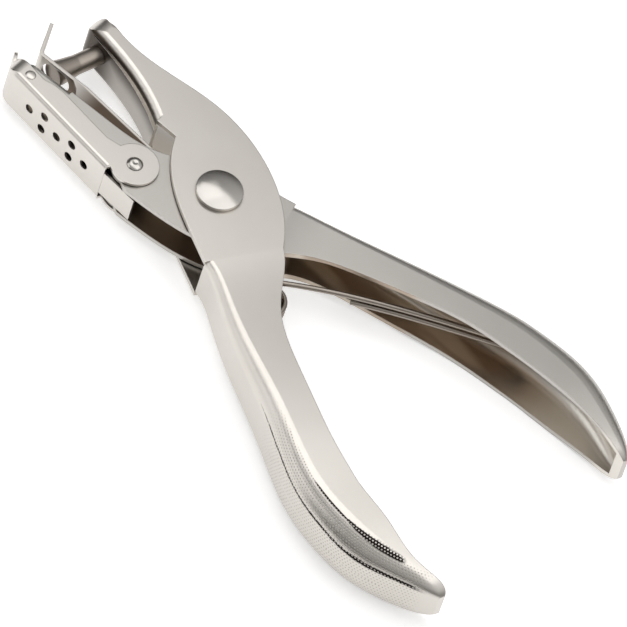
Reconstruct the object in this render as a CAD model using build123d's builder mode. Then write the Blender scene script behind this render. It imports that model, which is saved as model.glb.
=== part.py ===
from build123d import *
import os
from math import cos, radians, sin, sqrt, tan

# Single-hole hand punch of stamped steel, lying on its side.
# X runs along the die face from the jaws to the handles, Y is the punching
# direction and Z is the pivot axis. The origin is on the pivot axis, on the
# surface that the tool lies on.

# ---- driving dimensions (mm) ----
sheet = 1.1  # lever sheet
thin_sheet = 0.7  # chip catcher sheet
guide_sheet = 0.8  # stripper sheet
head_width = 12.4  # outer width of the punch lever at the pivot and jaw
grip_width = 15.6  # outer width of both handles at the grip
punch_handle_length = 96.2  # from the pivot to where the front handle's back ends
punch_handle_drop = 44.3  # how far below the pivot it ends
die_handle_length = 102.7  # the same for the rear handle
die_handle_rise = 12.4  # how far above the pivot it ends
lever_gap = 0.3  # between the punch lever's cheeks and the die lever's
catcher_gap = 0.15  # between the die lever's cheeks and the catcher's walls
guide_gap = 0.1  # between the die lever's cheeks and the stripper's flanges
run_gap = 0.05  # radial clearance of every pin in its hole
jaw_bend = 1.75  # outer bend of the upper jaw
die_bend = 1.2  # outer bend of the lower jaw

pivot_diameter = 6.0
pivot_head_diameter = 10.2
pivot_head_height = 1.9
pivot_head_edge = 0.9  # height of the head's straight side
pivot_tail_diameter = 9.4
sleeve_diameter = 8.4
pin_chamfer = 0.4

punch_diameter = 5.5  # cutting end
shank_diameter = 4.4
punch_tilt = 17.0  # lean of the punch from square to the die, jaws open
punch_length = 12.0  # from the upper jaw to the cutting end
punch_land = 1.4  # length of the cutting end
punch_flare = 4.6  # length of the cone between cutting end and shank
tenon_diameter = 3.2
tenon_head_diameter = 4.8
tenon_head_height = 0.9
tenon_lap = 0.2  # the tenon's head is drawn this far into the jaw, which cuts it to fit
shank_lap = 0.3  # and the shank this far from below
punch_seat = (-42.3, 13.2)  # where the punch meets the upper jaw

die_face_y = -2.0
die_x = -45.5  # centre of the die hole
die_hole_width = 5.8
die_hole_length = 6.5  # longer along the jaw, because the punch swings
die_plate_end = -38.6

guide_y = 2.2  # upper face of the stripper at the punch
guide_knee_x = -37.0
guide_slope = 6.0  # fall of the stripper behind its knee, degrees
guide_end_x = -14.0
guide_slot_x = -45.0
guide_slot_length = 7.6
guide_slot_width = 5.8
lip_x = -50.0
lip_length = 8.4
lip_lean = 113.0  # direction of the front lip, degrees from +X

hinge_x = -17.2  # chip catcher's hinge
hinge_y = -7.2
hinge_pin_diameter = 2.4
hinge_head_diameter = 3.6
hinge_head_height = 0.6
ear_radius = 5.3
tray_slope = 9.0  # fall of the catcher's floor towards the pivot, degrees
tray_front_x = -49.5  # where the catcher's floor turns up into its nose
tray_rear_x = -20.9  # where the floor ends, ahead of the hinge
tray_rear_y = -12.5
tray_bend = 1.2
tray_nose_x = tray_front_x - 3.45  # foremost point of the catcher's nose
tray_nose_top = (tray_nose_x + 0.35, -3.0)
tray_nose_corner = 4.0
tray_gap = 0.3  # between the die lever's lower edge and the catcher's floor
tail_end_x = -12.0
tab_foot = (tray_nose_x + 0.95, -4.6)  # where the catcher's tab leaves its nose
tab_angle = 122.0  # direction of the tab, degrees from +X
tab_length = 5.0
tab_width = 5.6
tab_corner = 2.2
chip_hole_diameter = 2.2
chip_hole_pitch = 4.35
chip_hole_spread = 4.2
chip_hole_centre = 14.6  # from the tray's front, along its floor

wire_diameter = 1.2
coil_radius = 4.2  # to the middle of the wire
coil_turns = 3
coil_x = 22.4
coil_y = -10.2
leg_knee = (46.5, 9.9)  # places that the doubled leg passes
leg_end = (69.5, 20.9)
strand_end = (35.0, 3.5)  # where its second strand stops
leg_way = (0.91, 0.41, 0)  # direction of the doubled leg at its end
leg_spread = 1.0  # from the middle plane to each strand of the doubled leg
single_leg_end = (51.2, -39.85)

# Handle stations: back point, open-edge point, outer width, back corner radius.
# They give each handle's form, which is then drawn out to its length, drop or rise.
punch_handle = [
    ((9.2, -16.2), (18.5, -1.0), head_width, 1.8),
    ((17.0, -20.9), (25.0, -9.6), head_width + 0.2, 2.4),
    ((25.9, -27.0), (31.5, -17.2), 13.5, 3.0),
    ((36.2, -32.9), (41.2, -23.6), 14.7, 3.6),
    ((48.0, -40.3), (53.2, -30.5), grip_width, 4.4),
    ((59.9, -47.0), (64.2, -35.7), grip_width, 5.2),
    ((71.7, -50.1), (74.5, -38.9), grip_width, 5.8),
    ((82.3, -49.6), (84.0, -42.1), 14.8, 5.2),
    ((90.6, -47.1), (92.2, -42.5), 12.2, 3.6),
    ((94.8, -45.3), (95.9, -42.3), 8.5, 1.8),
    ((96.2, -44.3), (96.7, -43.0), 6.2, 0.6),
]
die_width = head_width - 2 * sheet - 2 * lever_gap
die_handle = [
    ((12.9, 10.7), (16.3, -3.6), die_width, 1.8),
    ((22.3, 13.2), (25.3, 3.4), die_width, 2.0),
    ((32.9, 15.5), (35.2, 6.7), 11.6, 2.4),
    ((44.0, 18.1), (46.2, 9.6), 13.6, 3.0),
    ((55.0, 20.6), (57.0, 12.0), 15.2, 3.6),
    ((66.4, 23.0), (68.0, 13.0), grip_width, 4.2),
    ((77.5, 23.7), (78.0, 13.3), grip_width, 4.8),
    ((88.1, 21.7), (87.1, 13.2), 14.8, 4.6),
    ((96.7, 17.5), (95.3, 12.4), 12.4, 3.4),
    ((101.4, 14.1), (100.5, 11.5), 9.2, 1.8),
    ((102.7, 12.4), (102.2, 11.4), 6.4, 0.6),
]
# Where each handle's hollow ends, just short of the tip.
punch_hollow_end = ((94.1, -45.6), (95.3, -42.3), 9.0, 2.0)
die_hollow_end = ((100.9, 14.5), (100.0, 11.6), 9.6, 2.0)

# ---- widths that follow ----
mid_z = grip_width / 2  # height of the tool's middle plane
die_inner_width = die_width - 2 * sheet
guide_width = die_inner_width - 2 * guide_gap
guide_inner_width = guide_width - 2 * guide_sheet
tray_inner_width = die_width + 2 * catcher_gap
tray_width = tray_inner_width + 2 * thin_sheet
middle = Plane.XY.offset(mid_z)
run_on = 25.0  # length that a spine's path runs on past its bend
split = 0.005  # keeps a cutting block's flat sides off the piece's own
reach = die_handle_length  # a cutting block's length where it only has to clear the piece
punch_root = punch_handle[0][:2]  # where each handle leaves its head: back and open edge
die_root = die_handle[0][:2]

os.makedirs("parts", exist_ok=True)


def finish_piece(piece, label):
    """Name the piece and write its file."""
    piece.label = label
    export_step(piece, f"parts/{label}.step")


def moved(points, form, tip):
    """Points of one place along a handle, once its form is drawn out to a tip.

    The root stays, and each place moves in proportion to its distance from it.
    """
    root, end = form[0][0], form[-1][0]
    share = (points[0][0] - root[0]) / (end[0] - root[0])
    shift_x = share * (tip[0] - end[0])
    shift_y = share * (tip[1] - end[1])
    return [(x + shift_x, y + shift_y) for x, y in points]


def drawn_out(stations, form, tip):
    """Handle stations, once the handle's form is drawn out to a tip."""
    return [(*moved(station[:2], form, tip), *station[2:]) for station in stations]


def handle_section(station, inset=0, mouth=0):
    """One closed section of a handle, square at the mouth, round at the back."""
    back, edge, width, radius = station
    across = Vector(edge[0] - back[0], edge[1] - back[1], 0)
    depth = across.length + mouth
    half = width / 2 - inset
    plane = Plane(
        origin=(back[0], back[1], mid_z),
        x_dir=across,
        z_dir=Vector(0, 0, 1).cross(across),
    )
    with BuildSketch(plane) as section:
        with BuildLine():
            FilletPolyline(
                (depth, half),
                (inset, half),
                (inset, -half),
                (depth, -half),
                radius=max(radius - inset, 0.3),
            )
            Line((depth, -half), (depth, half))
        make_face()
    return section.sketch


def handle_shell(form, hollow_end, tip):
    """A channel-shaped handle, open along one edge and closed at its tip."""
    stations = drawn_out(form, form, tip)
    hollow_stations = stations[:-2] + drawn_out([hollow_end], form, tip)
    with BuildPart() as shell:
        for station in stations:
            add(handle_section(station))
        loft()
    with BuildPart() as hollow:
        for station in hollow_stations:
            add(handle_section(station, sheet, 4 * sheet))
        loft()
    return shell.part - hollow.part


def plan_block(start_x, end_x, width, corner):
    """A tall block that rounds the corners of a nose, as seen along Y."""
    length = end_x - start_x
    centre = (start_x + length / 2, 0, mid_z)
    with BuildPart() as block:
        with BuildSketch(Plane(origin=centre, x_dir=(1, 0, 0), z_dir=(0, -1, 0))) as plan:
            Rectangle(length, width + 2 * split)
            fillet(plan.vertices().group_by(Axis.X)[0], corner)
        extrude(amount=reach, both=True)
    return block.part


def edges_over(part, path, inset=0.0):
    """The part's edges that run along a flat path, seen along Z."""
    chosen = ShapeList()
    for edge in part.edges():
        point = edge @ 0.5
        run = (edge @ 1) - (edge @ 0)
        distance = path.distance_to(Vertex(point.X, point.Y, 0))
        if abs(distance - inset) < 0.02 and sqrt(run.X**2 + run.Y**2) > 0.05:
            chosen.append(edge)
    return chosen


def bent_block(spine, far_point, width, depth, bend, nose_x, nose_corner):
    """A block whose side facing the spine is rounded, at a depth inside it."""
    path = spine.line
    with BuildSketch(middle) as cover:
        with BuildLine():
            add(path)
            Polyline(path @ 1, far_point, path @ 0)
        make_face()
        if depth > 0:
            with BuildLine():
                add(path)
            trace(line_width=2 * depth, mode=Mode.SUBTRACT)
    with BuildPart() as block:
        add(cover.sketch)
        extrude(amount=width / 2, both=True)
        fillet(edges_over(block, path, depth), bend)
        add(plan_block(nose_x, reach, width, nose_corner), mode=Mode.INTERSECT)
    return block.part


def stamped_channel(outline, spine, far_point, width, gauge, bend, nose_x, nose_corner, end_x):
    """Two cheeks of one outline, joined along a spine from its nose to end_x.

    The outline lies in the middle plane. The spine is a flat path at Z = 0 that
    runs on past both ends of the bend, and far_point is on its inner side.
    """
    inner_width = width - 2 * gauge
    rear = Pos(end_x + reach / 2, 0, mid_z)
    outer_block = bent_block(spine, far_point, width, 0, bend, nose_x, nose_corner)
    inner_block = bent_block(
        spine, far_point, inner_width, gauge, bend - gauge, nose_x + gauge, nose_corner - gauge
    )
    with BuildPart() as blank:
        add(outline)
        extrude(amount=width / 2, both=True)
    outside = outer_block + rear * Box(reach, reach, 2 * width)
    inside = inner_block + rear * Box(reach, reach, inner_width)
    return (blank.part & outside) - inside


def bored(x, y, diameter, length):
    """Subtract a round hole along Z, centred on the middle plane."""
    with Locations((x, y, mid_z)):
        Cylinder(diameter / 2, length, mode=Mode.SUBTRACT)


# The slit between the bent-in near cheek and the band folded in from the far one,
# as X along the jaw and distance in front of the middle plane.
slit_corners = [(-44.8, 4.0), (-44.8, 4.45), (-20.0, 4.4), (-20.0, 2.4)]
slit_top_y = 15.4  # below the nose's own upper edge
jaw_rear = (-20.9, 4.7)  # where the upper jaw's underside begins
jaw_open = (-41.0, 21.6)  # the bend leaves the cheeks' upper edge towards here
jaw_nose_x = -47.6  # foremost point of the upper jaw
jaw_nose_corner = 5.0  # its corners, seen along Y
jaw_top = (-44.8, 18.1)  # where the jaw's nose meets the cheeks' upper edge

# ---- punch lever: two cheeks, upper jaw and front handle in one stamping ----
with BuildLine() as jaw_spine:
    jaw_line = Spline(jaw_rear, (-27.5, 8.4), (-37.9, 11.9), (-45.5, 13.5))
    jaw_nose = TangentArc(jaw_line @ 1, jaw_top, tangent=jaw_line % 1)
    Line(jaw_line @ 0, jaw_line @ 0 - jaw_line % 0 * run_on)
    jaw_lift = TangentArc(jaw_nose @ 1, jaw_open, tangent=jaw_nose % 1)
    Line(jaw_lift @ 1, jaw_lift @ 1 + jaw_lift % 1 * run_on)
with BuildSketch(middle) as punch_outline:
    with BuildLine():
        add(jaw_line)
        add(jaw_nose)
        Spline(jaw_top, (-33.0, 15.9), (-14.6, 17.2), (6.2, 11.1), punch_root[1])
        Line(punch_root[1], punch_root[0])
        Spline(punch_root[0], (0.7, -11.5), (-6.9, -6.5), (-12.9, -0.3), (-15.5, 4.5))
        Line((-15.5, 4.5), jaw_rear)
    make_face()

lean = radians(punch_tilt)
punch_direction = Vector(-sin(lean), -cos(lean), 0)
punch_origin = Vector(punch_seat[0], punch_seat[1], mid_z)
punch_base = Plane(origin=punch_origin, x_dir=(0, 0, 1), z_dir=punch_direction)

punch_head = stamped_channel(
    punch_outline.sketch,
    jaw_spine,
    (10.0, 22.0),
    head_width,
    sheet,
    jaw_bend,
    jaw_nose_x,
    jaw_nose_corner,
    jaw_rear[0],
)
punch_tip = (punch_handle_length, -punch_handle_drop)
punch_grip = handle_shell(punch_handle, punch_hollow_end, punch_tip)
with BuildPart() as punch_lever:
    add(punch_head)
    add(punch_grip)
    bored(0, 0, pivot_diameter, 2 * head_width)
    with BuildSketch(punch_base):
        Circle(tenon_diameter / 2)
    extrude(amount=2 * sheet, both=True, mode=Mode.SUBTRACT)
    with BuildSketch(Plane(origin=(0, 0, mid_z), x_dir=(1, 0, 0), z_dir=(0, -1, 0))):
        with BuildLine():
            Polyline(*slit_corners, close=True)
        make_face()
    extrude(amount=-slit_top_y, mode=Mode.SUBTRACT)
finish_piece(punch_lever.part, "punch_lever")

# ---- punch pin: cutting end, relieved shank and a tenon riveted through the jaw ----
with BuildPart() as punch_pin:
    with BuildSketch(Plane(origin=punch_origin, x_dir=punch_direction, z_dir=(0, 0, 1))):
        with BuildLine():
            Polyline(
                (-sheet - tenon_head_height, 0),
                (-sheet - tenon_head_height, tenon_head_diameter / 2 - pin_chamfer),
                (-sheet - pin_chamfer, tenon_head_diameter / 2),
                (-sheet + tenon_lap, tenon_head_diameter / 2),
                (-sheet + tenon_lap, tenon_diameter / 2),
                (-shank_lap, tenon_diameter / 2),
                (-shank_lap, shank_diameter / 2),
                (punch_length - punch_land - punch_flare, shank_diameter / 2),
                (punch_length - punch_land, punch_diameter / 2),
                (punch_length, punch_diameter / 2),
                (punch_length, 0),
                close=True,
            )
        make_face()
    revolve(axis=Axis(punch_origin, punch_direction))
    add(punch_lever.part, mode=Mode.SUBTRACT)
finish_piece(punch_pin.part, "punch_pin")

die_nose_x = -50.75  # foremost point of the lower jaw
die_nose_corner = 3.5  # its corners, seen along Y

# ---- die lever: lower jaw with the die, cheeks inside the punch lever, rear handle ----
with BuildLine() as anvil_spine:
    anvil = Line((die_plate_end, die_face_y), (-48.3, die_face_y))
    anvil_nose = TangentArc(anvil @ 1, (-50.3, -5.6), tangent=anvil % 1)
    Line(anvil @ 0, anvil @ 0 - anvil % 0 * run_on)
    Line(anvil_nose @ 1, anvil_nose @ 1 + anvil_nose % 1 * run_on)
with BuildSketch(middle) as die_outline:
    with BuildLine():
        add(anvil)
        add(anvil_nose)
        Line((die_plate_end, die_face_y), (-27.0, die_face_y))
        Spline(
            (-27.0, die_face_y),
            (-13.4, 0.9),
            (-6.0, 6.4),
            die_root[0],
            tangents=[(1, 0), (1, 0.22)],
        )
        Line(die_root[0], die_root[1])
        Spline(die_root[1], (7.1, -10.3), (-4.0, -12.8), (-15.0, -13.3))
        Polyline((-15.0, -13.3), (-17.9, -11.6), (-50.3, -5.6))
    make_face()
    with Locations((hinge_x, hinge_y)):
        Circle(ear_radius - tray_gap)

die_head = stamped_channel(
    die_outline.sketch,
    anvil_spine,
    (-10.0, -40.0),
    die_width,
    sheet,
    die_bend,
    die_nose_x,
    die_nose_corner,
    die_plate_end,
)
die_tip = (die_handle_length, die_handle_rise)
die_grip = handle_shell(die_handle, die_hollow_end, die_tip)
with BuildPart() as die_lever:
    add(die_head)
    add(die_grip)
    bored(0, 0, pivot_diameter + 2 * run_gap, 2 * head_width)
    bored(hinge_x, hinge_y, hinge_pin_diameter, 2 * head_width)
    with BuildSketch(Plane(origin=(die_x, die_face_y, mid_z), x_dir=(1, 0, 0), z_dir=(0, -1, 0))):
        SlotOverall(die_hole_length, die_hole_width)
    extrude(amount=2 * sheet, both=True, mode=Mode.SUBTRACT)
finish_piece(die_lever.part, "die_lever")

# ---- stripper: plate over the die with a front lip and two hinge flanges ----
guide_mid_y = guide_y - guide_sheet / 2
guide_rear_y = guide_mid_y - (guide_end_x - guide_knee_x) * tan(radians(guide_slope))
lip_angle = radians(lip_lean)
with BuildPart() as stripper_plate:
    with BuildSketch(middle):
        with BuildLine():
            Polyline(
                (guide_end_x, guide_rear_y),
                (guide_knee_x, guide_mid_y),
                (guide_knee_x - 4.2, guide_mid_y),
                (guide_knee_x - 1.9, 0.2),
                (guide_knee_x - 0.3, -2.2),
                (guide_knee_x + 0.5, -4.5),
                (hinge_x - 15.8, -6.3),
                (hinge_x - 3.8, -8.0),
                (guide_end_x, -8.0),
                (guide_end_x, guide_rear_y),
            )
        make_face()
        with Locations((hinge_x, hinge_y)):
            Circle(ear_radius - 1.3)
    extrude(amount=guide_width / 2, both=True)
    with Locations((hinge_x, 0, mid_z)):
        Box(reach, reach, guide_inner_width, mode=Mode.SUBTRACT)
    with BuildSketch(middle):
        with BuildLine():
            FilletPolyline(
                (lip_x + lip_length * cos(lip_angle), guide_mid_y + lip_length * sin(lip_angle)),
                (lip_x, guide_mid_y),
                (guide_knee_x, guide_mid_y),
                (guide_end_x, guide_rear_y),
                radius=1.2,
            )
        trace(line_width=guide_sheet)
    extrude(amount=guide_width / 2, both=True)
    guide_plane = Plane(
        origin=(guide_slot_x, guide_mid_y, mid_z), x_dir=(1, 0, 0), z_dir=(0, -1, 0)
    )
    with BuildSketch(guide_plane):
        SlotOverall(guide_slot_length, guide_slot_width)
    extrude(amount=guide_sheet, both=True, mode=Mode.SUBTRACT)
    bored(hinge_x, hinge_y, hinge_pin_diameter, 2 * head_width)
finish_piece(stripper_plate.part, "stripper_plate")

# ---- chip catcher: perforated tray that swings down about the hinge pin ----
floor_angle = radians(tray_slope)
tray_front_y = tray_rear_y + (tray_rear_x - tray_front_x) * tan(floor_angle)
with BuildLine() as tray_spine:
    floor_line = Line((tray_rear_x, tray_rear_y), (tray_front_x, tray_front_y))
    tray_nose = TangentArc(floor_line @ 1, tray_nose_top, tangent=floor_line % 1)
    Line(floor_line @ 0, floor_line @ 0 - floor_line % 0 * run_on)
    Line(tray_nose @ 1, tray_nose @ 1 + tray_nose % 1 * run_on)
with BuildSketch(middle) as tray_outline:
    with BuildLine():
        add(floor_line)
        add(tray_nose)
        Polyline(
            tray_nose_top,
            (tray_nose_x + 5.45, -3.9),
            (tray_nose_x + 8.45, -4.5),
            (tray_nose_x + 11.25, -3.9),
            (tray_nose_x + 14.45, -4.1),
            (hinge_x - 8.6, -6.2),
            (hinge_x, -5.0),
            (tray_rear_x, tray_rear_y),
        )
    make_face()
    with Locations((hinge_x, hinge_y)):
        Circle(ear_radius)

# The tab that the catcher is opened by stands on its nose, leaning forwards.
tab_lean = radians(tab_angle)
tab_plane = Plane(
    origin=(tab_foot[0], tab_foot[1], mid_z),
    x_dir=(0, 0, 1),
    z_dir=(-sin(tab_lean), cos(tab_lean), 0),
)
tray_shell = stamped_channel(
    tray_outline.sketch,
    tray_spine,
    (10.0, 40.0),
    tray_width,
    thin_sheet,
    tray_bend,
    tray_nose_x,
    tray_nose_corner,
    tray_rear_x,
)
with BuildPart() as chip_catcher:
    add(tray_shell)
    with BuildSketch(middle):
        with BuildLine():
            Line((tray_rear_x - 0.4, -12.05), (tail_end_x, -13.0))
        trace(line_width=thin_sheet)
    extrude(amount=die_inner_width / 2 - tray_gap, both=True)
    with BuildSketch(tab_plane):
        with Locations((0, tab_length / 2)):
            RectangleRounded(tab_width, tab_length, tab_corner)
    extrude(amount=thin_sheet / 2, both=True)
    bored(hinge_x, hinge_y, hinge_pin_diameter + 2 * run_gap, 2 * head_width)
    tray_floor = Plane(
        origin=(tray_front_x, tray_front_y, mid_z),
        x_dir=(cos(floor_angle), -sin(floor_angle), 0),
        z_dir=(-sin(floor_angle), -cos(floor_angle), 0),
    )
    with BuildSketch(tray_floor):
        with Locations((chip_hole_centre, 0)):
            with GridLocations(2 * chip_hole_pitch, 1, 3, 1):
                Circle(chip_hole_diameter / 2)
            with GridLocations(2 * chip_hole_pitch, chip_hole_spread, 2, 2):
                Circle(chip_hole_diameter / 2)
    extrude(amount=2 * thin_sheet, both=True, mode=Mode.SUBTRACT)
finish_piece(chip_catcher.part, "chip_catcher")

# ---- pins ----
with BuildPart() as catcher_hinge_pin:
    with Locations((hinge_x, hinge_y, mid_z)):
        Cylinder(hinge_pin_diameter / 2, tray_width + 2 * run_gap)
    for side in (-1, 1):
        head_z = mid_z + side * (tray_width / 2 + run_gap + hinge_head_height / 2)
        with Locations((hinge_x, hinge_y, head_z)):
            Cylinder(hinge_head_diameter / 2, hinge_head_height)
finish_piece(catcher_hinge_pin.part, "catcher_hinge_pin")

tail_height = mid_z - head_width / 2
cheek_top = mid_z + head_width / 2
with BuildPart() as main_pivot_rivet:
    with BuildSketch(Plane.XZ):
        with BuildLine():
            Polyline(
                (0, 0),
                (pivot_tail_diameter / 2 - pin_chamfer, 0),
                (pivot_tail_diameter / 2, pin_chamfer),
                (pivot_tail_diameter / 2, tail_height),
                (pivot_diameter / 2, tail_height),
                (pivot_diameter / 2, cheek_top),
                (pivot_head_diameter / 2, cheek_top),
                (pivot_head_diameter / 2, cheek_top + pivot_head_edge),
            )
            dome = TangentArc(
                (0, cheek_top + pivot_head_height),
                (pivot_head_diameter / 2, cheek_top + pivot_head_edge),
                tangent=(1, 0),
            )
            Line(dome @ 0, (0, 0))
        make_face()
    revolve(axis=Axis.Z)
finish_piece(main_pivot_rivet.part, "main_pivot_rivet")

with BuildPart() as pivot_sleeve:
    with Locations((0, 0, mid_z)):
        Cylinder(sleeve_diameter / 2, die_inner_width)
    bored(0, 0, pivot_diameter + 2 * run_gap, 2 * head_width)
finish_piece(pivot_sleeve.part, "pivot_sleeve")

# ---- return spring: coil, one doubled leg under the rear handle's back, one single leg ----
coil_pitch = wire_diameter + 0.05
entry_angle = 229.8  # where the single leg meets the coil, degrees from +X
exit_angle = 126.7  # where the doubled leg leaves it
coil_sweep = coil_turns + (entry_angle - exit_angle) / 360
coil_rise = coil_sweep * coil_pitch
coil_base = mid_z + leg_spread - coil_rise
[single_tip] = moved([single_leg_end], punch_handle, punch_tip)
[knee] = moved([leg_knee], die_handle, die_tip)
[leg_tip] = moved([leg_end], die_handle, die_tip)
[strand_tip] = moved([strand_end], die_handle, die_tip)
near_z = mid_z + leg_spread
far_z = mid_z - leg_spread
with BuildLine() as spring_path:
    coil = Helix(
        coil_pitch,
        coil_rise,
        coil_radius,
        center=(coil_x, coil_y, coil_base),
        lefthand=True,
        mode=Mode.PRIVATE,
    )
    coil = coil.rotate(Axis((coil_x, coil_y, 0), (0, 0, 1)), entry_angle)
    add(coil)
    Spline(
        (*single_tip, coil_base), coil @ 0, tangents=[(-0.766, 0.643, 0), coil % 0]
    )
    near_leg = Spline(
        coil @ 1,
        (*knee, near_z),
        (*leg_tip, near_z),
        tangents=[coil % 1, leg_way],
    )
    hairpin = ThreePointArc(
        near_leg @ 1,
        near_leg @ 1 + Vector(leg_way) * leg_spread - Vector(0, 0, leg_spread),
        near_leg @ 1 - Vector(0, 0, 2 * leg_spread),
    )
    Spline(
        hairpin @ 1,
        (*knee, far_z),
        (*strand_tip, far_z),
        tangents=[(-leg_way[0], -leg_way[1], 0), (-0.85, -0.53, 0)],
    )
with BuildPart() as return_spring:
    start = spring_path.wires()[0]
    with BuildSketch(Plane(origin=start @ 0, z_dir=start % 0)):
        Circle(wire_diameter / 2)
    sweep(path=start, is_frenet=False)
finish_piece(return_spring.part, "return_spring")
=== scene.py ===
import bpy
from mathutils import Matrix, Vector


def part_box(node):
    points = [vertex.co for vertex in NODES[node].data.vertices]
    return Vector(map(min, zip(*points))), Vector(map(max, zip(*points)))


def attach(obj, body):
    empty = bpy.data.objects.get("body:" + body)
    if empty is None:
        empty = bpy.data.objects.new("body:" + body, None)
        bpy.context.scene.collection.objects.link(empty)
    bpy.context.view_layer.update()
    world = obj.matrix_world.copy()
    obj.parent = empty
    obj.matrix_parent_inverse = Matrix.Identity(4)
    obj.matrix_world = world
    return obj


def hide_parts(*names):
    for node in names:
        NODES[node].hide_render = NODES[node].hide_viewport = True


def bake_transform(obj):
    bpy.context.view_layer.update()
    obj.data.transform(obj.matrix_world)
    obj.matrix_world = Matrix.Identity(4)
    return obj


bl_info = {
    "name": "Hand Hole Punch",
    "version": (1, 0, 0),
    "blender": (4, 5, 0),
    "location": "3D View > Sidebar > Hole Punch",
    "description": "Dresses a single-hole hand punch of plated steel",
    "category": "Object",
}

from math import cos, radians, sin

import bmesh
import bpy
from mathutils import Matrix, Vector

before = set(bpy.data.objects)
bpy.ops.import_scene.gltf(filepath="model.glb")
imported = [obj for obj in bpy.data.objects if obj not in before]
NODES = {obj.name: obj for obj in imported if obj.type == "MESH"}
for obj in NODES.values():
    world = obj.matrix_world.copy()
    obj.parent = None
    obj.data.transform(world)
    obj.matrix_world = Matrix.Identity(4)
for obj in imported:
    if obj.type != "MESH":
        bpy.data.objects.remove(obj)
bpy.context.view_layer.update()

# ---- camera: it looks at AIM from CAMERA_WAY, with its right hand along CAMERA_RIGHT ----
AIM = Vector((0.03046, -0.00230, 0.00354))
CAMERA_WAY = Vector((0.235, -0.552, 0.800))
CAMERA_RIGHT = Vector((0.765, 0.612, 0.198))
CAMERA_DISTANCE = 3.0
VIEW_WIDTH = 0.1317
SENSOR_WIDTH = 36.0
NEAREST = 0.01
FARTHEST = 10.0

# ---- surroundings ----
FLOOR_REACH = 3.0
KEY_WAY = (-0.5, 0.3, 1.0)
KEY_DISTANCE = 0.8
LEFT_WAY = (-0.80, -0.50, 0.35)
LEFT_DISTANCE = 0.6
SOFTBOX_SIZE = 0.5
# The low panel's edge stands where the head stops mirroring it.
CARD_WIDTH = 0.6
CARD_DEPTH = 0.26
CARD_EDGE_Y = 0.170
CARD_HEIGHT = 0.3
SKY_RISE = (0.10, 0.60)  # heights between which the walls turn into the ceiling
RIGHT_GAIN = 0.9  # how much brighter the surroundings get towards the right
EVEN_X = -0.235  # the way that the flats mirror, where that gain adds nothing
FRONT_WAY = (0.50, -0.87, 0.0)
FRONT_RISE = (0.25, 0.65)
FRONT_SHADE = 0.75  # brightness left in front of the tool
LEAST_GLOW = 0.02

# ---- plating ----
EDGE_ROUND = 0.00022  # how far the plating rounds a sheared edge
EDGE_SAMPLES = 6
GRAIN_DEPTH = 0.0002
GRAIN_STRENGTH = 0.02
CLOUD_AMOUNT = 0.7
CORNER_REACH = 0.0016  # how near another surface has to be to paint shade in a corner
CORNER_RANGE = (0.25, 0.72)
CORNER_SAMPLES = 8
CORNER_SHADE = (0.10, 0.08, 0.065)
GROUND_SHADE = (0.30, 0.28, 0.26)
PIN_ROUGHNESS = 0.30
RIVET_ROUGHNESS = 0.16
WIRE_ROUGHNESS = 0.25

# ---- insides of the channels: a circle fitted to each back gives its inner side ----
PUNCH_CHANNEL = {"Centre_X": 0.0752, "Centre_Y": -0.0080, "Radius": 0.0421}
DIE_CHANNEL = {"Centre_X": 0.0730, "Centre_Y": -0.0247, "Radius": 0.0486}
STRIPPER_CHANNEL = {"Centre_X": -0.0300, "Centre_Y": -0.0300, "Radius": 0.0320}
PUNCH_CHEEKS_FROM = 0.009  # the open jaw ahead of this place stays bright
DIE_TIP_FROM = 0.074
STRIPPER_FROM = -0.043
CHEEK_DEPTH = (-0.0004, -0.0025)
BACK_DEPTH = (-0.0060, -0.0045)
BACK_STEEP = (0.8, 0.5)
ENTRY_FADE = 0.002
TIP_FADE = (-0.010, 0.012)
# Painted shade inside the channels, with lighter painted reflections as streaks and near the die
# lever's tip; the stripper gets painted shade only.
CHANNEL_PAINTED_SHADE = (0.43, 0.355, 0.285)
STREAK_PAINTED_REFLECTION = (0.74, 0.68, 0.59)  # lighter streaks inside the channels
STREAK_STRETCH = (28.0, 150.0, 60.0)
STREAK_TURN = -0.42
STREAK_RANGE = (0.44, 0.62)
TIP_PAINTED_LIGHT = (0.70, 0.665, 0.61)
GUIDE_PAINTED_SHADE = (0.24, 0.19, 0.15)

# ---- knurling: from one place along X to another, with two dark creases ----
PUNCH_GRIP = {**PUNCH_CHANNEL, "Start_X": 0.040, "End_X": 0.094}
DIE_GRIP = {**DIE_CHANNEL, "Start_X": 0.052, "End_X": 0.100}
FLAT_CHEEK = (0.985, 0.94)  # how squarely a face faces Z where the dimples stop
GRIP_FADE_IN = 0.012
GRIP_FADE_OUT = 0.004
DIMPLE_STRENGTH = 0.7
DIMPLE_DEPTH = 0.0001
# Painted shade in the pressed dimples.
DIMPLE_SHADE = (0.35, 0.32, 0.28)
# Painted shade and dark reflection along the two creases.
CREASE_PAINTED_DARK = (0.012, 0.010, 0.009)
# The two creases, as angles from the cheek, with their width, and where they run and swell.
NEAR_CREASE = 0.30
FAR_CREASE = 1.25
CREASE_WIDTH = 0.07
CREASE_SPREAD = 0.17
FAR_SPREAD = 0.06
CREASE_SWELL = (0.070, 0.081)
CREASE_EDGE = (0.15, 0.55)
NEAR_CREASE_RUN = (0.058, 0.064)
NEAR_CREASE_END = (0.0880, 0.0845)
FAR_CREASE_RUN = (0.034, 0.050)
WEB_RANGE = (0.18, 0.30)  # the painted crease shade lies between the dots

# ---- stripper: its plate falls by GUIDE_FALL along X, and its flanges start at
# GUIDE_FOOT where X is 0; their painted shade deepens between two places along X ----
GUIDE_FALL = 0.105
GUIDE_FOOT = -0.0021
GUIDE_EDGE = 0.0004
GUIDE_DARKENS = (-0.043, -0.032)
FLANGE_SHADE = (0.16, 0.125, 0.10)

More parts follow.
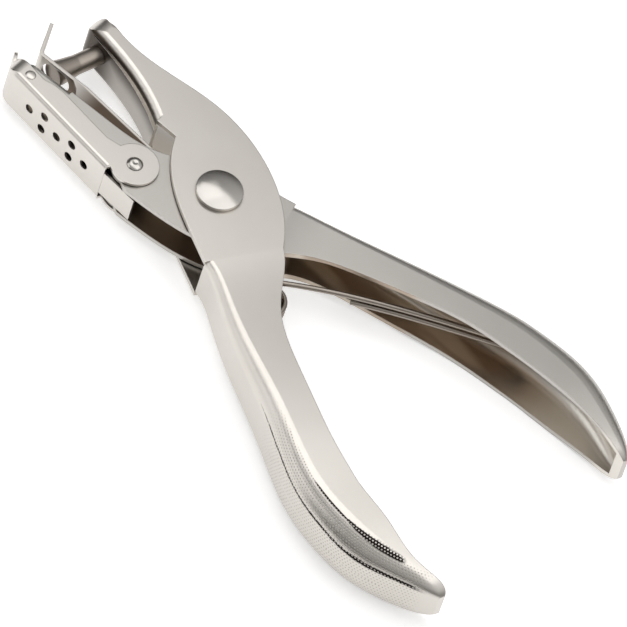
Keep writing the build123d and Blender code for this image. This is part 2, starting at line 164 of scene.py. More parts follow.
# ---- upper jaw's underside: where it ends, and where its painted shade deepens to its slit and nose ----
UNDERSIDE = (-0.5, -0.85)
JAW_END = (-0.0190, -0.0215)
SLIT_DARKENS = (0.0060, 0.0115)
NOSE_DARKENS = (-0.0350, -0.0420)
JAW_LEAST_SHADE = 0.35
JAW_PAINTED_SHADE = (0.085, 0.070, 0.058)

# ---- small pieces ----
TURN_STEPS = 48
SHARP_FROM = 40  # degrees
HEAD_HEIGHT = 0.0006
PIN_RADIUS = 0.0012
# The upset head: shares of its radius, and how far each place lies below its crown.
HEAD_FORM = [
    (0.0, 0.00022), (0.12, 0.00018), (0.26, 0.00004), (0.38, 0.0),
    (0.56, 0.00006), (0.76, 0.00022), (0.92, 0.00042), (1.0, HEAD_HEIGHT),
]
DIMPLE_AT = (-0.0472, -0.0057)
DIMPLE_SEAT = 0.00005  # how deep the dimple's rim is sunk
DIMPLE_RADIUS = 0.0012
DIMPLE_HEIGHT = 0.0004
DIMPLE_RINGS = 8

FLOAT = "NodeSocketFloat"
COLOR = "NodeSocketColor"


# ---- node helpers ----


def add_node(tree, kind, at, **values):
    """Place a shader node and set its attributes."""
    node = tree.nodes.new(kind)
    node.location = at
    for name, value in values.items():
        setattr(node, name, value)
    return node


def set_inputs(node, **values):
    """Set a node's inputs by name, with underscores for spaces."""
    for name, value in values.items():
        node.inputs[name.replace("_", " ")].default_value = value


def calc(tree, operation, *values, at=(0, 0), clamp=False):
    """Add a math node on sockets or plain numbers and return its output."""
    node = add_node(tree, "ShaderNodeMath", at, operation=operation, use_clamp=clamp)
    for index, value in enumerate(values):
        if isinstance(value, (int, float)):
            node.inputs[index].default_value = value
        else:
            tree.links.new(value, node.inputs[index])
    return node.outputs[0]


def times(tree, first, *others, at=(0, 0)):
    """Multiply sockets together."""
    product = first
    for other in others:
        product = calc(tree, "MULTIPLY", product, other, at=at)
    return product


def ramp(tree, value, low, high, at=(0, 0)):
    """Rise smoothly from 0 to 1 while a value goes from low to high."""
    node = add_node(tree, "ShaderNodeMapRange", at, interpolation_type="SMOOTHSTEP")
    set_inputs(node, From_Min=low, From_Max=high)
    tree.links.new(value, node.inputs["Value"])
    return node.outputs["Result"]


def mix(tree, factor, first, second, at=(0, 0), way="MIX"):
    """Mix two colours, each a socket or three numbers, by a factor."""
    node = add_node(tree, "ShaderNodeMix", at, data_type="RGBA", blend_type=way)
    tree.links.new(factor, node.inputs["Factor"])
    for label, color in (("A", first), ("B", second)):
        if isinstance(color, bpy.types.NodeSocket):
            tree.links.new(color, node.inputs[label])
        else:
            node.inputs[label].default_value = (*color, 1.0)
    return node.outputs["Result"]


def surface_axes(tree, kind, at):
    """X, Y and Z of a surface point's place ("Object") or of its facing ("Normal")."""
    source = add_node(tree, "ShaderNodeTexCoord", at)
    axes = add_node(tree, "ShaderNodeSeparateXYZ", (at[0] + 200, at[1]))
    tree.links.new(source.outputs[kind], axes.inputs[0])
    return axes.outputs


def new_group(name, inputs, outputs):
    """A shader node group with named float or colour sockets."""
    group = bpy.data.node_groups.new(name, "ShaderNodeTree")
    for label, kind, default in inputs:
        socket = group.interface.new_socket(label, in_out="INPUT", socket_type=kind)
        socket.default_value = default
    for label, kind in outputs:
        group.interface.new_socket(label, in_out="OUTPUT", socket_type=kind)
    start = add_node(group, "NodeGroupInput", (-900, 0))
    end = add_node(group, "NodeGroupOutput", (700, 0))
    return group, start, end


def plated_surface_group():
    """Fine grain and faint cloudiness of plated sheet steel."""
    name = "Plated Surface"
    if name in bpy.data.node_groups:
        return bpy.data.node_groups[name]
    group, start, end = new_group(
        name,
        [
            ("Base", COLOR, (0.7, 0.68, 0.65, 1.0)),
            ("Shade", COLOR, (0.5, 0.46, 0.4, 1.0)),
            ("Grain Scale", FLOAT, 900.0),
            ("Cloud Scale", FLOAT, 38.0),
            ("Cloud Amount", FLOAT, 0.25),
            ("Roughness", FLOAT, 0.28),
            ("Roughness Spread", FLOAT, 0.08),
        ],
        [("Color", COLOR), ("Roughness", FLOAT), ("Height", FLOAT)],
    )
    links = group.links
    inside = start.outputs
    place = add_node(group, "ShaderNodeTexCoord", (-900, -400))
    cloud = add_node(group, "ShaderNodeTexNoise", (-500, 200))
    grain = add_node(group, "ShaderNodeTexNoise", (-500, -200))
    set_inputs(cloud, Detail=3.0, Roughness=0.55)
    set_inputs(grain, Detail=2.0, Roughness=0.6)
    links.new(place.outputs["Object"], cloud.inputs["Vector"])
    links.new(place.outputs["Object"], grain.inputs["Vector"])
    links.new(inside["Cloud Scale"], cloud.inputs["Scale"])
    links.new(inside["Grain Scale"], grain.inputs["Scale"])
    amount = times(group, cloud.outputs["Fac"], inside["Cloud Amount"], at=(-200, 200))
    tint = mix(group, amount, inside["Base"], inside["Shade"], at=(100, 200))
    links.new(tint, end.inputs["Color"])
    spread = calc(group, "MULTIPLY_ADD", grain.outputs["Fac"], inside["Roughness Spread"],
                  inside["Roughness"], at=(-200, -100))
    links.new(spread, end.inputs["Roughness"])
    links.new(grain.outputs["Fac"], end.inputs["Height"])
    return group


def crease_line(group, lean, angle, swell, spread, *ends, level=0):
    """A line along the grip where the surface leans by an angle, wider where it swells."""
    width = calc(group, "MULTIPLY_ADD", swell, spread, CREASE_WIDTH, at=(-300, level - 150))
    off = calc(group, "ABSOLUTE", calc(group, "SUBTRACT", lean, angle), at=(-300, level))
    line = calc(group, "SUBTRACT", 1.0, calc(group, "DIVIDE", off, width), clamp=True)
    return times(group, line, *ends, at=(-100, level))


def knurl_group():
    """Staggered dimples on the back and corners of a curved handle, and its creases."""
    name = "Knurl"
    if name in bpy.data.node_groups:
        return bpy.data.node_groups[name]
    group, start, end = new_group(
        name,
        [
            ("Centre X", FLOAT, 0.0),
            ("Centre Y", FLOAT, 0.0),
            ("Radius", FLOAT, 0.045),
            ("Middle Z", FLOAT, 0.0078),
            ("Pitch", FLOAT, 0.0008),
            ("Dimple", FLOAT, 0.26),
            ("Start X", FLOAT, 0.04),
            ("End X", FLOAT, 0.09),
        ],
        [("Mask", FLOAT), ("Crease", FLOAT)],
    )
    inside = start.outputs
    point = surface_axes(group, "Object", (-1500, 150))
    facing = surface_axes(group, "Normal", (-1500, -250))
    x = calc(group, "SUBTRACT", point["X"], inside["Centre X"], at=(-1100, 300))
    y = calc(group, "SUBTRACT", point["Y"], inside["Centre Y"], at=(-1100, 100))
    z = calc(group, "SUBTRACT", point["Z"], inside["Middle Z"], at=(-1100, -100))
    # Rows run round the section, and places along them follow the handle's curve.
    turn = calc(group, "ARCTAN2", y, x, at=(-900, 300))
    along = times(group, turn, inside["Radius"], at=(-700, 300))
    square = calc(group, "ADD", times(group, x, x), times(group, y, y), at=(-900, 100))
    out = calc(group, "SQRT", square, at=(-700, 100))
    over = calc(group, "SUBTRACT", calc(group, "ABSOLUTE", z), out, at=(-500, 0))
    row = calc(group, "DIVIDE", over, inside["Pitch"], at=(-300, 0))
    count = calc(group, "FLOOR", row, at=(-100, 50))
    half = times(group, calc(group, "FLOORED_MODULO", count, 2.0), 0.5, at=(100, 100))
    step = calc(group, "ADD", calc(group, "DIVIDE", along, inside["Pitch"]), half, at=(100, 300))
    side = calc(group, "SUBTRACT", calc(group, "FRACT", step), 0.5, at=(300, 300))
    rise = calc(group, "SUBTRACT", calc(group, "FRACT", row), 0.5, at=(300, 0))
    apart = calc(group, "ADD", times(group, side, side), times(group, rise, rise))
    apart = calc(group, "SQRT", apart, at=(500, 150))
    dot = calc(group, "SUBTRACT", 1.0, calc(group, "DIVIDE", apart, inside["Dimple"]),
               at=(600, 150), clamp=True)
    # The area: outward faces that are neither of the flat cheeks, along the grip.
    outward = calc(group, "ADD", times(group, facing["X"], x), times(group, facing["Y"], y))
    flat = ramp(group, calc(group, "ABSOLUTE", facing["Z"]), *FLAT_CHEEK, at=(-300, -400))
    away = calc(group, "GREATER_THAN", outward, 0.0, at=(-300, -250))
    entry = calc(group, "SUBTRACT", point["X"], inside["Start X"], at=(-500, -500))
    entry = ramp(group, entry, 0.0, GRIP_FADE_IN)
    finish = calc(group, "SUBTRACT", inside["End X"], point["X"], at=(-500, -650))
    finish = ramp(group, finish, 0.0, GRIP_FADE_OUT)
    area = times(group, dot, flat, away, entry, finish, at=(0, -400))
    group.links.new(area, end.inputs["Mask"])
    # Where the back turns into the cheeks, two dark dotted lines of painted shade and dark
    # reflection run along the creases.
    lean = calc(group, "ARCCOSINE", facing["Z"], at=(-500, -800))
    swell = ramp(group, point["X"], *CREASE_SWELL, at=(-500, -950))
    near = crease_line(group, lean, NEAR_CREASE, swell, CREASE_SPREAD,
                       ramp(group, point["X"], *NEAR_CREASE_RUN),
                       ramp(group, point["X"], *NEAR_CREASE_END), level=-800)
    far = crease_line(group, lean, FAR_CREASE, swell, FAR_SPREAD,
                      ramp(group, point["X"], *FAR_CREASE_RUN), level=-1100)
    line = ramp(group, calc(group, "MAXIMUM", near, far, at=(0, -900)), *CREASE_EDGE)
    web = ramp(group, apart, *WEB_RANGE, at=(300, -600))
    group.links.new(times(group, line, web, away, finish, at=(500, -900)), end.inputs["Crease"])
    return group


def channel_inside_group():
    """Masks of the faces inside a lever's channel, its streaks and its tip."""
    name = "Channel Inside"
    if name in bpy.data.node_groups:
        return bpy.data.node_groups[name]
    group, start, end = new_group(
        name,
        [
            ("Centre X", FLOAT, 0.0),
            ("Centre Y", FLOAT, 0.0),
            ("Radius", FLOAT, 0.045),
            ("Middle Z", FLOAT, 0.0078),
            ("From X", FLOAT, 0.009),
            ("Cheeks From X", FLOAT, -0.1),
            ("Tip From X", FLOAT, 0.2),
        ],
        [("Mask", FLOAT), ("Streak", FLOAT), ("Tip", FLOAT)],
    )
    inside = start.outputs
    point = surface_axes(group, "Object", (-1500, 150))
    facing = surface_axes(group, "Normal", (-1500, -250))
    x = calc(group, "SUBTRACT", point["X"], inside["Centre X"], at=(-1100, 300))
    y = calc(group, "SUBTRACT", point["Y"], inside["Centre Y"], at=(-1100, 100))
    z = calc(group, "SUBTRACT", point["Z"], inside["Middle Z"], at=(-1100, -100))
    # Cheeks that face the middle plane.
    cheek = ramp(group, times(group, facing["Z"], z), *CHEEK_DEPTH, at=(-700, -100))
    behind = calc(group, "GREATER_THAN", point["X"], inside["Cheeks From X"])
    cheek = times(group, cheek, behind, at=(-300, -100))
    # The back's inner side, which faces the circle's centre.
    outward = calc(group, "ADD", times(group, facing["X"], x), times(group, facing["Y"], y))
    inward = calc(group, "LESS_THAN", outward, 0.0, at=(-500, 100))
    square = calc(group, "ADD", times(group, x, x), times(group, y, y), at=(-700, 300))
    out = calc(group, "SQRT", square, at=(-500, 300))
    deep = calc(group, "SUBTRACT", out, inside["Radius"], at=(-300, 300))
    deep = ramp(group, deep, *BACK_DEPTH, at=(-100, 300))
    entry = calc(group, "SUBTRACT", point["X"], inside["From X"], at=(-500, 500))
    entry = ramp(group, entry, 0.0, ENTRY_FADE, at=(-300, 500))
    steep = ramp(group, calc(group, "ABSOLUTE", facing["Z"]), *BACK_STEEP, at=(-100, 500))
    back = times(group, inward, deep, entry, steep, at=(250, 200))
    group.links.new(calc(group, "MAXIMUM", cheek, back, at=(400, 0)), end.inputs["Mask"])
    close = calc(group, "SUBTRACT", inside["Tip From X"], point["X"], at=(-500, 700))
    close = ramp(group, close, *TIP_FADE, at=(-300, 700))
    group.links.new(calc(group, "SUBTRACT", 1.0, close, at=(400, 700)), end.inputs["Tip"])
    # Painted reflections, drawn out as streaks along the channel.
    source = add_node(group, "ShaderNodeTexCoord", (-200, -300))
    drawn = add_node(group, "ShaderNodeMapping", (0, -300))
    set_inputs(drawn, Scale=STREAK_STRETCH, Rotation=(0.0, 0.0, STREAK_TURN))
    group.links.new(source.outputs["Object"], drawn.inputs["Vector"])
    streak = add_node(group, "ShaderNodeTexNoise", (200, -300))
    set_inputs(streak, Scale=1.0, Detail=2.0, Roughness=0.4)
    group.links.new(drawn.outputs["Vector"], streak.inputs["Vector"])
    lines = ramp(group, streak.outputs["Fac"], *STREAK_RANGE, at=(400, -300))
    group.links.new(lines, end.inputs["Streak"])
    return group


# ---- materials ----


def steel_material(name, base, shade, roughness):
    """A plated or ground steel with its own grain, and painted shade in its corners."""
    material = bpy.data.materials.new(name)
    material.use_nodes = True
    tree = material.node_tree
    shader = tree.nodes["Principled BSDF"]
    set_inputs(shader, Metallic=1.0)
    surface = add_node(tree, "ShaderNodeGroup", (-500, 0), node_tree=plated_surface_group())
    set_inputs(
        surface, Base=(*base, 1.0), Shade=(*shade, 1.0), Roughness=roughness,
        Cloud_Amount=CLOUD_AMOUNT,
    )
    worn = add_node(tree, "ShaderNodeBevel", (-500, -300), samples=EDGE_SAMPLES)
    set_inputs(worn, Radius=EDGE_ROUND)
    relief = add_node(tree, "ShaderNodeBump", (-250, -250))
    set_inputs(relief, Strength=GRAIN_STRENGTH, Distance=GRAIN_DEPTH)
    tree.links.new(worn.outputs["Normal"], relief.inputs["Normal"])
    tree.links.new(surface.outputs["Height"], relief.inputs["Height"])
    # Painted shade: corners where two surfaces meet get a darker base colour than the open sheet.
    corner = add_node(tree, "ShaderNodeAmbientOcclusion", (-900, 200), samples=CORNER_SAMPLES)
    set_inputs(corner, Distance=CORNER_REACH)
    open_air = ramp(tree, corner.outputs["AO"], *CORNER_RANGE, at=(-700, 200))
    corner_shaded = mix(tree, open_air, CORNER_SHADE, surface.outputs["Color"], at=(-200, 100))
    tree.links.new(corner_shaded, shader.inputs["Base Color"])
    tree.links.new(surface.outputs["Roughness"], shader.inputs["Roughness"])
    tree.links.new(relief.outputs["Normal"], shader.inputs["Normal"])
    return material


def paint_shading(material, mask, color, at, way="MIX"):
    """Paint light and shade into a material's base colour: lay a colour over it where a mask is 1.
    """
    tree = material.node_tree
    target = tree.nodes["Principled BSDF"].inputs["Base Color"]
    tree.links.new(mix(tree, mask, target.links[0].from_socket, color, at, way), target)


def add_knurl(material, handle, crease=0.0):
    """Press a handle's dimples into its plating with painted shade in them, and paint shade and dark
    reflection along its creases.
    """
    tree = material.node_tree
    knurl = add_node(tree, "ShaderNodeGroup", (-900, -400), node_tree=knurl_group())
    set_inputs(knurl, **handle)
    dents = add_node(tree, "ShaderNodeBump", (-250, -500), invert=True)
    set_inputs(dents, Strength=DIMPLE_STRENGTH, Distance=DIMPLE_DEPTH)
    target = tree.nodes["Principled BSDF"].inputs["Normal"]
    tree.links.new(knurl.outputs["Mask"], dents.inputs["Height"])
    tree.links.new(target.links[0].from_socket, dents.inputs["Normal"])
    tree.links.new(dents.outputs["Normal"], target)
    # Painted shade in the pressed dimples.
    paint_shading(material, knurl.outputs["Mask"], DIMPLE_SHADE, (-200, 250), way="MULTIPLY")
    # Painted shade and dark reflection along the two creases.
    painted_crease = times(tree, knurl.outputs["Crease"], crease, at=(-200, 450))
    paint_shading(material, painted_crease, CREASE_PAINTED_DARK, (0, 250))


def add_channel(material, tone=None, **channel):
    """Paint shade inside a piece's channel, with lighter painted reflections as streaks and towards
    its tip.
    """
    tree = material.node_tree
    place = add_node(tree, "ShaderNodeGroup", (-900, 400), node_tree=channel_inside_group())
    set_inputs(place, **channel)
    masks = place.outputs
    drawn = mix(tree, masks["Streak"], tone or CHANNEL_PAINTED_SHADE, tone or STREAK_PAINTED_REFLECTION, (-450, 600))
    inner = mix(tree, masks["Tip"], drawn, TIP_PAINTED_LIGHT, at=(-250, 600))
    paint_shading(material, masks["Mask"], inner, (0, 400))


def add_underside(material):
    """Paint shade on the stripper's flanges below its plate, more so towards the hinge."""
    tree = material.node_tree
    point = surface_axes(tree, "Object", (-1300, 500))
    plate = calc(tree, "MULTIPLY_ADD", point["X"], -GUIDE_FALL, GUIDE_FOOT, at=(-900, 600))
    below = calc(tree, "SUBTRACT", plate, point["Y"], at=(-700, 600))
    below = ramp(tree, below, 0.0, GUIDE_EDGE, at=(-500, 600))
    deep = ramp(tree, point["X"], *GUIDE_DARKENS, at=(-500, 400))
    mask = times(tree, below, deep, at=(-250, 500))
    paint_shading(material, mask, FLANGE_SHADE, (0, 500), way="MULTIPLY")


def add_jaw_underside(material):
    """Paint shade and dark reflection on the upper jaw's underside, most beside its slit and behind
    its nose.
    """
    tree = material.node_tree
    point = surface_axes(tree, "Object", (-1300, 900))
    facing = surface_axes(tree, "Normal", (-1300, 700))
    down = ramp(tree, facing["Y"], *UNDERSIDE, at=(-900, 700))
    jaw = ramp(tree, point["X"], *JAW_END, at=(-900, 900))
    slit = ramp(tree, point["Z"], *SLIT_DARKENS, at=(-900, 1100))
    nose = ramp(tree, point["X"], *NOSE_DARKENS, at=(-900, 1300))
    dark = calc(tree, "MAXIMUM", slit, nose, at=(-700, 1200))
    dark = calc(tree, "MULTIPLY_ADD", dark, 1.0 - JAW_LEAST_SHADE, JAW_LEAST_SHADE, at=(-500, 1200))
    paint_shading(material, times(tree, dark, down, jaw, at=(-300, 900)), JAW_PAINTED_SHADE, (0, 900))


def dress(node, material):
    """Give a CAD node its material."""
    mesh = NODES[node].data
    mesh.materials.clear()
    mesh.materials.append(material)


# ---- small pieces ----


def place_piece(name, mesh):
    """Put a mesh into the scene, unmoved."""
    piece = bpy.data.objects.new(name, mesh)
    bpy.context.collection.objects.link(piece)
    return piece


def turned_piece(name, profile, centre, material):
    """A piece turned about Z from a profile of radius and height, in metres."""
    shape = bmesh.new()
    rim = [shape.verts.new((radius, 0.0, height)) for radius, height in profile]
    for start, end in zip(rim, rim[1:]):
        shape.edges.new((start, end))
    bmesh.ops.spin(
        shape, geom=shape.verts[:] + shape.edges[:], cent=(0, 0, 0), axis=(0, 0, 1),
        angle=radians(360), steps=TURN_STEPS,
    )
    bmesh.ops.remove_doubles(shape, verts=shape.verts[:], dist=1e-6)
    bmesh.ops.recalc_face_normals(shape, faces=shape.faces[:])
    bmesh.ops.translate(shape, verts=shape.verts[:], vec=centre)
    mesh = bpy.data.meshes.new(name)
    shape.to_mesh(mesh)
    shape.free()
    mesh.shade_smooth()
    mesh.set_sharp_from_angle(angle=radians(SHARP_FROM))
    mesh.materials.append(material)
    return place_piece(name, mesh)


def headed_pin(name, material):
    """The catcher's hinge pin, with two upset heads that are dented in the middle."""
    low, high = (Vector(corner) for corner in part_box("catcher_hinge_pin"))
    radius = (high.x - low.x) / 2
    half = (high.z - low.z) / 2
    head = [(share * radius, half - drop) for share, drop in HEAD_FORM]
    head.append((PIN_RADIUS, half - HEAD_HEIGHT))
    profile = head + [(across, -height) for across, height in reversed(head)]
    return turned_piece(name, profile, (low + high) / 2, material)


def latch_dimple(name, material):
    """The dimple that holds the catcher shut, pressed out of its near wall."""
    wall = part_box("chip_catcher")[1][2]
    turns = [radians(90 * ring / DIMPLE_RINGS) for ring in range(DIMPLE_RINGS + 1)]
    dome = [(DIMPLE_RADIUS * sin(turn), DIMPLE_HEIGHT * cos(turn)) for turn in turns]
    return turned_piece(name, dome, Vector((*DIMPLE_AT, wall - DIMPLE_SEAT)), material)


def bending_spring(name):
    """The return spring, as a copy of its CAD mesh that takes the hidden node's place."""
    mesh = NODES["return_spring"].data.copy()
    mesh.name = name
    spring = place_piece(name, mesh)
    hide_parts("return_spring")
    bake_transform(spring)


# ---- settings ----


class PunchFinish(bpy.types.PropertyGroup):
    """Finishes of the punch's pieces."""

    plate: bpy.props.FloatVectorProperty(
        name="Plate", description="Satin nickel of the punch lever, stripper and tray",
        subtype="COLOR",
        default=(0.68, 0.65, 0.61),
    )
    plate_shade: bpy.props.FloatVectorProperty(
        name="Plate shade", description="Cloudier areas of the plating", subtype="COLOR",
        default=(0.55, 0.515, 0.465),
    )
    rear: bpy.props.FloatVectorProperty(
        name="Rear plate", description="Satin nickel of the die lever and rivets", subtype="COLOR",
        default=(0.55, 0.53, 0.50),
    )
    rear_shade: bpy.props.FloatVectorProperty(
        name="Rear plate shade", description="Cloudier areas of the die lever", subtype="COLOR",
        default=(0.43, 0.405, 0.37),
    )
    ground: bpy.props.FloatVectorProperty(
        name="Ground steel", description="Cutting pin, pivot sleeve and spring", subtype="COLOR",
        default=(0.33, 0.285, 0.24),
    )
    satin: bpy.props.FloatProperty(
        name="Satin", description="Roughness of the plating", default=0.27, min=0.0, max=1.0,
        subtype="FACTOR",
    )


class PunchStage(bpy.types.PropertyGroup):
    """Floor, light and camera."""

    floor: bpy.props.FloatVectorProperty(
        name="Floor", description="Colour of the floor", subtype="COLOR",
        default=(0.9, 0.9, 0.9),
    )
    glow: bpy.props.FloatProperty(
        name="Floor glow", description="White added to the lit floor as the camera and metal see it",
        default=0.45, min=0.0,
    )
    ceiling: bpy.props.FloatVectorProperty(
        name="Ceiling", description="Soft light from above", subtype="COLOR",
        default=(0.48, 0.48, 0.48),
    )
    walls: bpy.props.FloatVectorProperty(
        name="Walls", description="Darker surroundings near the floor", subtype="COLOR",
        default=(0.05, 0.045, 0.038),
    )
    key_power: bpy.props.FloatProperty(
        name="Key light", description="Power of the large soft light", default=0.3, min=0.0,
        unit="POWER",
    )
    left_power: bpy.props.FloatProperty(
        name="Left light", description="Power of the soft light beside the front handle",
        default=0.8, min=0.0, unit="POWER",
    )
    card_power: bpy.props.FloatProperty(
        name="Card", description="Power of the low soft panel over the handles", default=0.52,
        min=0.0, unit="POWER",
    )
    distance: bpy.props.FloatProperty(
        name="Camera distance", description="From the camera to the punch",
        default=CAMERA_DISTANCE, min=0.1, unit="LENGTH",
    )


# ---- operators for the pieces ----


class PUNCH_OT_levers(bpy.types.Operator):
    """Finish the two stamped levers."""

    bl_idname = "punch.levers"
    bl_label = "Levers"

    def execute(self, context):
        finish = context.scene.punch_finish
        front = steel_material("Punch Lever Plate", finish.plate, finish.plate_shade, finish.satin)
        add_knurl(front, PUNCH_GRIP, crease=1.0)
        add_channel(front, Cheeks_From_X=PUNCH_CHEEKS_FROM, **PUNCH_CHANNEL)
        add_jaw_underside(front)
        dress("punch_lever", front)
        rear = steel_material("Die Lever Plate", finish.rear, finish.rear_shade, finish.satin)
        add_knurl(rear, DIE_GRIP)
        add_channel(rear, Tip_From_X=DIE_TIP_FROM, **DIE_CHANNEL)
        dress("die_lever", rear)
        return {"FINISHED"}


class PUNCH_OT_jaw_fittings(bpy.types.Operator):
    """Finish the punch pin, the stripper and the chip catcher with its latch."""

    bl_idname = "punch.jaw_fittings"
    bl_label = "Jaw Fittings"

    def execute(self, context):
        finish = context.scene.punch_finish
        tray = steel_material("Tray Plate", finish.plate, finish.plate_shade, finish.satin)
        dress("chip_catcher", tray)
        dimple = latch_dimple("latch_dimple", tray)
        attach(dimple, "catcher_body")
        guide = steel_material("Stripper Plate", finish.plate, finish.plate_shade, finish.satin)
        add_channel(guide, GUIDE_PAINTED_SHADE, From_X=STRIPPER_FROM, **STRIPPER_CHANNEL)
        add_underside(guide)
        dress("stripper_plate", guide)
        ground = steel_material("Ground Steel", finish.ground, GROUND_SHADE, PIN_ROUGHNESS)
        dress("punch_pin", ground)
        return {"FINISHED"}


class PUNCH_OT_pivot_fittings(bpy.types.Operator):
    """Finish the rivets, the sleeve and the spring."""

    bl_idname = "punch.pivot_fittings"
    bl_label = "Pivot Fittings"

    def execute(self, context):
        finish = context.scene.punch_finish
        bright = steel_material("Rivet Plate", finish.rear, finish.rear_shade, RIVET_ROUGHNESS)
        dress("main_pivot_rivet", bright)
        pin = headed_pin("hinge_pin", bright)
        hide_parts("catcher_hinge_pin")
        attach(pin, "die_body")
        wire = steel_material("Spring Wire", finish.ground, GROUND_SHADE, WIRE_ROUGHNESS)
        dress("pivot_sleeve", wire)
        dress("return_spring", wire)
        bending_spring("spring")
        return {"FINISHED"}


# ---- stage ----


def background_material(name, color, glow):
    """A pale floor that shows white to the camera and in metal, and keeps its shadows."""
    material = bpy.data.materials.new(name)
    material.use_nodes = True
    tree = material.node_tree
    shader = tree.nodes["Principled BSDF"]
    set_inputs(shader, Base_Color=(*color, 1.0), Roughness=1.0, Emission_Color=(1, 1, 1, 1))
    set_inputs(shader, Specular_IOR_Level=0.0)
    path = add_node(tree, "ShaderNodeLightPath", (-900, 0)).outputs
    seen = calc(tree, "MAXIMUM", path["Is Camera Ray"], path["Is Glossy Ray"], at=(-700, 0))
    seen = calc(tree, "MAXIMUM", seen, path["Is Transmission Ray"], at=(-500, 0))
    tree.links.new(times(tree, seen, glow, at=(-250, -100)), shader.inputs["Emission Strength"])
    return material


def studio_world(name, zenith, horizon):
    """A bright soft ceiling over darker walls, brighter on the right, darker in front."""
    world = bpy.data.worlds.new(name)
    world.use_nodes = True
    tree = world.node_tree
    background = tree.nodes["Background"]
    way = add_node(tree, "ShaderNodeTexCoord", (-1300, 0))
    axes = add_node(tree, "ShaderNodeSeparateXYZ", (-1100, 0))
    tree.links.new(way.outputs["Generated"], axes.inputs[0])
    height = ramp(tree, axes.outputs["Z"], *SKY_RISE, at=(-450, 0))
    tree.links.new(mix(tree, height, horizon, zenith, at=(-200, 0)), background.inputs["Color"])
    right = calc(tree, "MULTIPLY_ADD", axes.outputs["X"], RIGHT_GAIN, 1.0 - EVEN_X * RIGHT_GAIN,
                 at=(-850, -200))
    front = add_node(tree, "ShaderNodeVectorMath", (-1100, -400), operation="DOT_PRODUCT")
    front.inputs[1].default_value = FRONT_WAY
    tree.links.new(way.outputs["Generated"], front.inputs[0])
    dark = ramp(tree, front.outputs["Value"], *FRONT_RISE, at=(-850, -400))
    dark = calc(tree, "MULTIPLY_ADD", dark, FRONT_SHADE - 1.0, 1.0, at=(-650, -400))
    strength = calc(tree, "MAXIMUM", times(tree, right, dark, at=(-450, -300)), LEAST_GLOW)
    tree.links.new(strength, background.inputs["Strength"])
    return world


def soft_light(name, way, distance, size, power):
    """A square soft light that shines on the punch from one way."""
    light = bpy.data.lights.new(name, "AREA")
    light.shape = "SQUARE"
    light.size = size
    light.energy = power
    lamp = bpy.data.objects.new(name, light)
    lamp.visible_camera = False
    bpy.context.collection.objects.link(lamp)
    way = Vector(way).normalized()
    lamp.location = AIM + way * distance
    lamp.rotation_euler = way.to_track_quat("Z", "Y").to_euler()
    return lamp


def low_card(power):
    """A low soft panel over the handles, which only they mirror."""
    card = soft_light("Card", (0.0, 0.0, 1.0), CARD_HEIGHT, CARD_WIDTH, power)
    card.data.shape = "RECTANGLE"
    card.data.size_y = CARD_DEPTH
    card.location = (0.0, CARD_EDGE_Y - CARD_DEPTH / 2, CARD_HEIGHT)


def lay_floor(color, glow):
    """A wide flat floor under the punch."""
    mesh = bpy.data.meshes.new("floor")
    sheet = bmesh.new()
    bmesh.ops.create_grid(sheet, x_segments=1, y_segments=1, size=FLOOR_REACH)
    sheet.to_mesh(mesh)
    sheet.free()
    mesh.materials.append(background_material("Floor", color, glow))
    place_piece("floor", mesh)


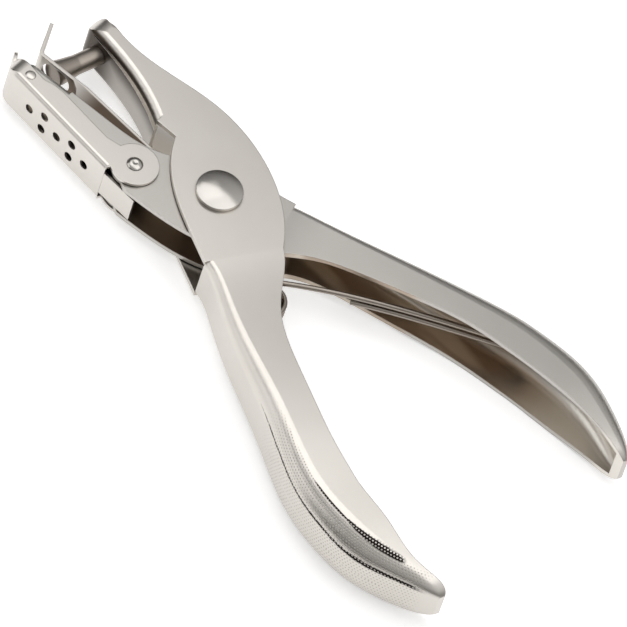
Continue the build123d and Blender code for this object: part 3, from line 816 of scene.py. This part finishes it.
def set_camera(distance):
    """A long lens that keeps the same view width at any distance."""
    lens = bpy.data.cameras.new("Camera")
    lens.sensor_width = SENSOR_WIDTH
    lens.lens = SENSOR_WIDTH * distance / VIEW_WIDTH
    lens.clip_start = NEAREST
    lens.clip_end = FARTHEST
    camera = bpy.data.objects.new("Camera", lens)
    bpy.context.collection.objects.link(camera)
    back = CAMERA_WAY.normalized()
    right = (CAMERA_RIGHT - CAMERA_RIGHT.project(back)).normalized()
    turn = Matrix((right, back.cross(right), back)).transposed()
    camera.matrix_world = Matrix.Translation(AIM + back * distance) @ turn.to_4x4()
    bpy.context.scene.camera = camera


class PUNCH_OT_stage(bpy.types.Operator):
    """Lay the floor and set the lights and the camera."""

    bl_idname = "punch.stage"
    bl_label = "Stage"

    def execute(self, context):
        stage = context.scene.punch_stage
        lay_floor(stage.floor, stage.glow)
        context.scene.world = studio_world("Studio", stage.ceiling, stage.walls)
        soft_light("Key", KEY_WAY, KEY_DISTANCE, SOFTBOX_SIZE, stage.key_power)
        soft_light("Left", LEFT_WAY, LEFT_DISTANCE, SOFTBOX_SIZE, stage.left_power)
        low_card(stage.card_power)
        set_camera(stage.distance)
        context.scene.view_settings.view_transform = "Standard"
        return {"FINISHED"}


class PUNCH_PT_panel(bpy.types.Panel):
    """Sidebar panel that lists the punch's steps and settings."""

    bl_label = "Hole Punch"
    bl_idname = "PUNCH_PT_panel"
    bl_space_type = "VIEW_3D"
    bl_region_type = "UI"
    bl_category = "Hole Punch"

    def draw(self, context):
        for group in (context.scene.punch_finish, context.scene.punch_stage):
            box = self.layout.box()
            for name in group.__annotations__:
                box.prop(group, name)
        for step in STEPS:
            self.layout.operator(step.bl_idname)


STEPS = (
    PUNCH_OT_stage,
    PUNCH_OT_levers,
    PUNCH_OT_jaw_fittings,
    PUNCH_OT_pivot_fittings,
)
CLASSES = (PunchFinish, PunchStage, *STEPS, PUNCH_PT_panel)


def register():
    """Add the classes and their settings to Blender."""
    for cls in CLASSES:
        bpy.utils.register_class(cls)
    bpy.types.Scene.punch_finish = bpy.props.PointerProperty(type=PunchFinish)
    bpy.types.Scene.punch_stage = bpy.props.PointerProperty(type=PunchStage)


def unregister():
    """Take the classes and their settings out again."""
    del bpy.types.Scene.punch_stage
    del bpy.types.Scene.punch_finish
    for cls in reversed(CLASSES):
        bpy.utils.unregister_class(cls)


def main():
    """Build the dressed punch on its stage."""
    register()
    bpy.ops.punch.stage()
    bpy.ops.punch.levers()
    bpy.ops.punch.jaw_fittings()
    bpy.ops.punch.pivot_fittings()


if __name__ == "__main__":
    main()
